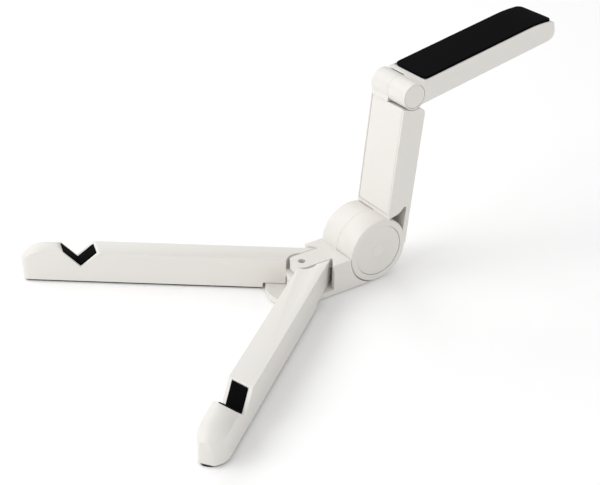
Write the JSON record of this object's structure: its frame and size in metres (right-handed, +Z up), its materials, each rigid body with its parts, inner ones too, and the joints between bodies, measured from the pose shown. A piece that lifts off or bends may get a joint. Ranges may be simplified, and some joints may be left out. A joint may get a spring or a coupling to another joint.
{
  "type": "tablet stand",
  "caption": "Folding stand that holds a tablet upright: swinging legs with padded V slots for its lower edge, and a jointed arm with a foam pad for its back.",
  "frame": {"origin": "on the table under the pin that both legs turn on, on the hub's foot pad", "axes": "+Z up, -Y towards the legs, +Y towards the drum hinge and the arm, +X to the right seen from the legs' side"},
  "size_m": [0.1726, 0.2418, 0.112],
  "materials": {
    "white_abs": "satin moulded",
    "black_foam": "matte closed-cell foam",
    "black_rubber": "matte",
    "zinc_steel": "zinc plated",
    "natural_nylon": "moulded"
  },
  "bodies": {
    "hub": {"hub_shell": "white_abs", "hub_foot_pad": "black_rubber", "leg_pin": "zinc_steel", "drum_bolt": "zinc_steel", "drum_washer": "zinc_steel", "drum_nut": "zinc_steel", "drum_spring": "zinc_steel", "click_ring_fixed": "natural_nylon", "drum_cap_left": "white_abs"},
    "leg_left": {"leg_left_shell": "white_abs", "leg_left_cover": "white_abs", "leg_left_foot": "black_rubber", "leg_left_slot_pad": "black_foam", "leg_left_screw_1": "zinc_steel", "leg_left_screw_2": "zinc_steel"},
    "leg_right": {"leg_right_shell": "white_abs", "leg_right_cover": "white_abs", "leg_right_foot": "black_rubber", "leg_right_slot_pad": "black_foam", "leg_right_screw_1": "zinc_steel", "leg_right_screw_2": "zinc_steel"},
    "lower_arm": {"lower_arm_shell": "white_abs", "lower_arm_cover": "white_abs", "click_ring_moving": "natural_nylon", "drum_cap_right": "white_abs", "elbow_cap_left": "white_abs", "elbow_pin": "zinc_steel"},
    "top_arm": {"top_arm_shell": "white_abs", "top_arm_cover": "white_abs", "top_arm_pad": "black_foam", "elbow_cap_right": "white_abs"}
  },
  "joints": [
    {"name": "leg_left_swing", "type": "hinge", "parent": "hub", "child": "leg_left", "pos_m": [0, 0, 0.0094], "axis": [0, 0, 1], "range_deg": [0, 37]},
    {"name": "leg_right_swing", "type": "hinge", "parent": "hub", "child": "leg_right", "pos_m": [0, 0, 0.0055], "axis": [0, 0, -1], "range_deg": [0, 37]},
    {"name": "lower_arm_tilt", "type": "hinge", "parent": "hub", "child": "lower_arm", "pos_m": [0, 0.0361, 0.0163], "axis": [1, 0, 0], "range_deg": [-35, 95.65]},
    {"name": "top_arm_tilt", "type": "hinge", "parent": "lower_arm", "child": "top_arm", "pos_m": [0, 0.05212, 0.09139], "axis": [1, 0, 0], "range_deg": [-18, 73.6]}
  ]
}
